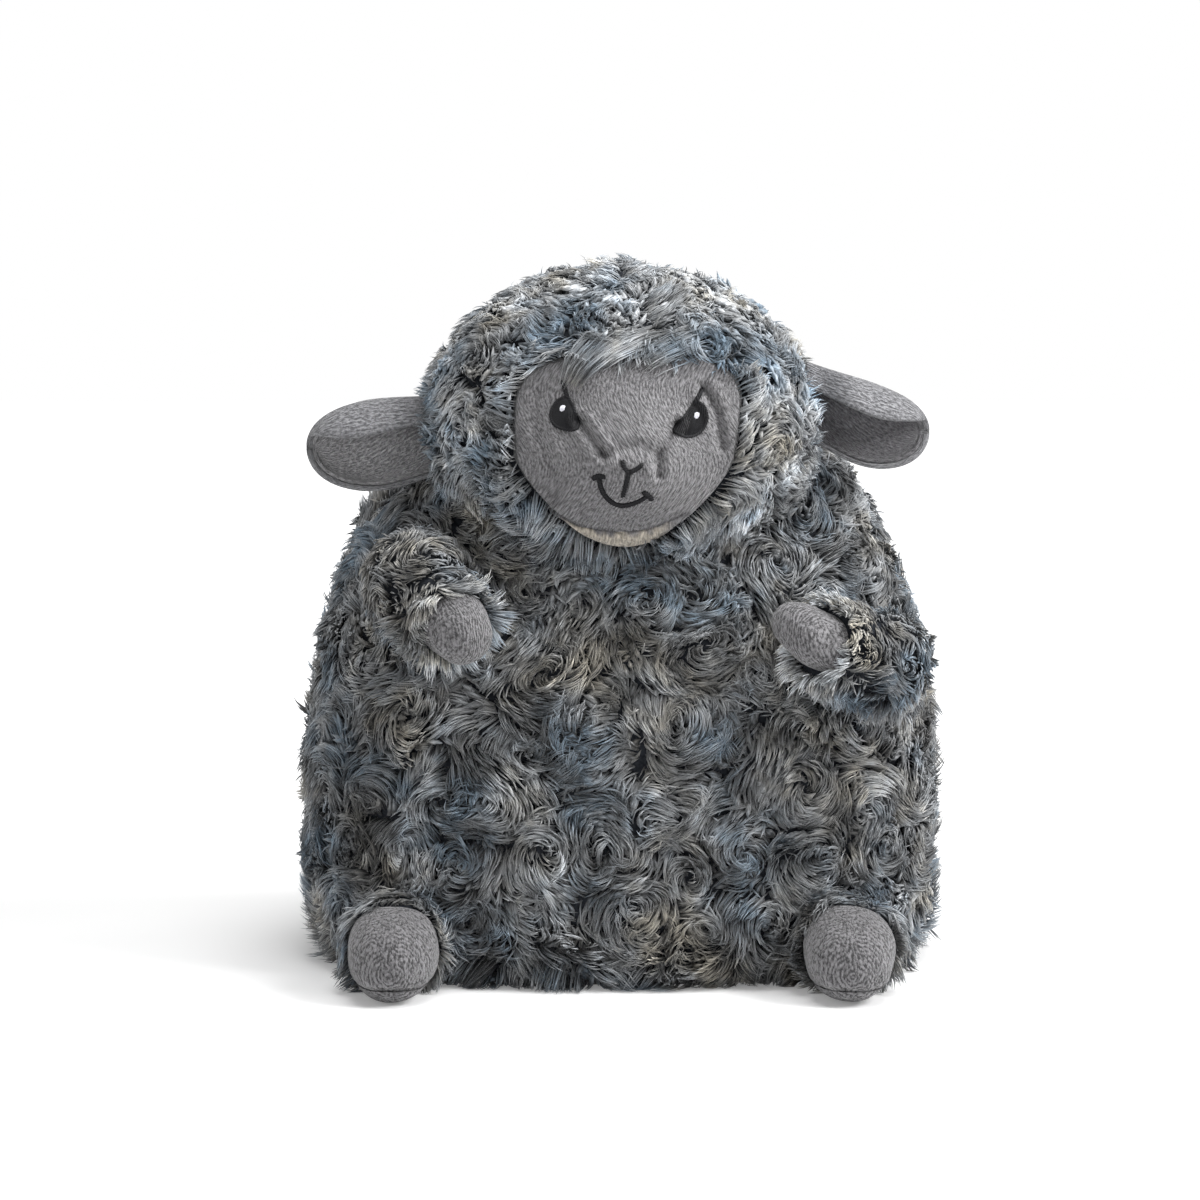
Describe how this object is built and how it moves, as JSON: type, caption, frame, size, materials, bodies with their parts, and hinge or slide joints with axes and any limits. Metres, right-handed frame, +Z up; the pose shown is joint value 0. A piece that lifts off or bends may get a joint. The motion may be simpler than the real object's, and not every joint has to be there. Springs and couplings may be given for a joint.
{
  "type": "plush sheep",
  "caption": "Plush sheep sitting upright: broad gumdrop body of rosette pile, furry hood round a smooth embroidered face, folded ears, stub arms and small round feet.",
  "frame": {"origin": "on the floor, under the middle of the whole toy's box", "axes": "+Z up, the sheep looks towards -Y, and the side that the picture shows on the left is at -X"},
  "size_m": [0.2477, 0.2396, 0.275],
  "materials": {
    "rosette_fur": "long rosette pile, slate grey with pale tips",
    "velboa": "short pile, mid grey",
    "ear_velboa": "short pile, mid grey",
    "ear_lining": "short pile, dark grey",
    "chin_velboa": "short pile, pale warm grey",
    "black_thread": "satin embroidery thread",
    "white_thread": "satin embroidery thread",
    "fibre_filling": "polyester fibre",
    "pellet_cloth": "plain woven"
  },
  "bodies": {
    "body": {"front_left_panel": "rosette_fur", "front_right_panel": "rosette_fur", "back_panel": "rosette_fur", "base_panel": "velboa", "body_stuffing": "fibre_filling", "pellet_bag": "pellet_cloth"},
    "head": {"hood": "rosette_fur", "face_panel": "velboa", "chin_panel": "chin_velboa", "head_stuffing": "fibre_filling", "left_eye": "black_thread", "left_eye_highlight": "white_thread", "left_brow": "black_thread", "right_eye": "black_thread", "right_eye_highlight": "white_thread", "right_brow": "black_thread", "nose": "black_thread", "mouth": "black_thread"},
    "left_ear": {"left_ear_back": "ear_velboa", "left_ear_lining": "ear_lining"},
    "right_ear": {"right_ear_back": "ear_velboa", "right_ear_lining": "ear_lining"},
    "left_arm": {"left_arm_sleeve": "rosette_fur", "left_paw": "velboa", "left_arm_stuffing": "fibre_filling"},
    "right_arm": {"right_arm_sleeve": "rosette_fur", "right_paw": "velboa", "right_arm_stuffing": "fibre_filling"},
    "left_leg": {"left_leg_sleeve": "rosette_fur", "left_foot": "velboa", "left_sole": "velboa", "left_leg_stuffing": "fibre_filling"},
    "right_leg": {"right_leg_sleeve": "rosette_fur", "right_foot": "velboa", "right_sole": "velboa", "right_leg_stuffing": "fibre_filling"},
    "tail": {"tail": "rosette_fur"}
  },
  "joints": [
    {"name": "head_nod", "type": "hinge", "parent": "body", "child": "head", "pos_m": [0, -0.03087, 0.215], "axis": [1, 0, 0], "range_deg": [-12, 3], "stiffness_Nm_per_rad": 1.5},
    {"name": "left_ear_swing", "type": "hinge", "parent": "head", "child": "left_ear", "pos_m": [-0.07624, -0.03687, 0.209], "axis": [0, 0, 1], "range_deg": [-10, 25], "stiffness_Nm_per_rad": 0.2},
    {"name": "right_ear_swing", "type": "hinge", "parent": "head", "child": "right_ear", "pos_m": [0.0761, -0.03687, 0.222], "axis": [0, 0, -1], "range_deg": [-10, 25], "stiffness_Nm_per_rad": 0.2},
    {"name": "left_arm_swing", "type": "hinge", "parent": "body", "child": "left_arm", "pos_m": [-0.0784, -0.06928, 0.15724], "axis": [-1, 0, 0], "range_deg": [-5, 30], "stiffness_Nm_per_rad": 0.3},
    {"name": "right_arm_swing", "type": "hinge", "parent": "body", "child": "right_arm", "pos_m": [0.09957, -0.06857, 0.12554], "axis": [-1, 0, 0], "range_deg": [-5, 22], "stiffness_Nm_per_rad": 0.3},
    {"name": "left_leg_lift", "type": "hinge", "parent": "body", "child": "left_leg", "pos_m": [-0.08646, -0.08351, 0.02], "axis": [-1, 0, 0], "range_deg": [0, 30], "stiffness_Nm_per_rad": 0.3},
    {"name": "right_leg_lift", "type": "hinge", "parent": "body", "child": "right_leg", "pos_m": [0.08646, -0.08351, 0.02], "axis": [-1, 0, 0], "range_deg": [0, 30], "stiffness_Nm_per_rad": 0.3},
    {"name": "tail_swing", "type": "hinge", "parent": "body", "child": "tail", "pos_m": [0, 0.10213, 0.05999], "axis": [1, 0, 0], "range_deg": [-10, 25], "stiffness_Nm_per_rad": 0.3}
  ]
}
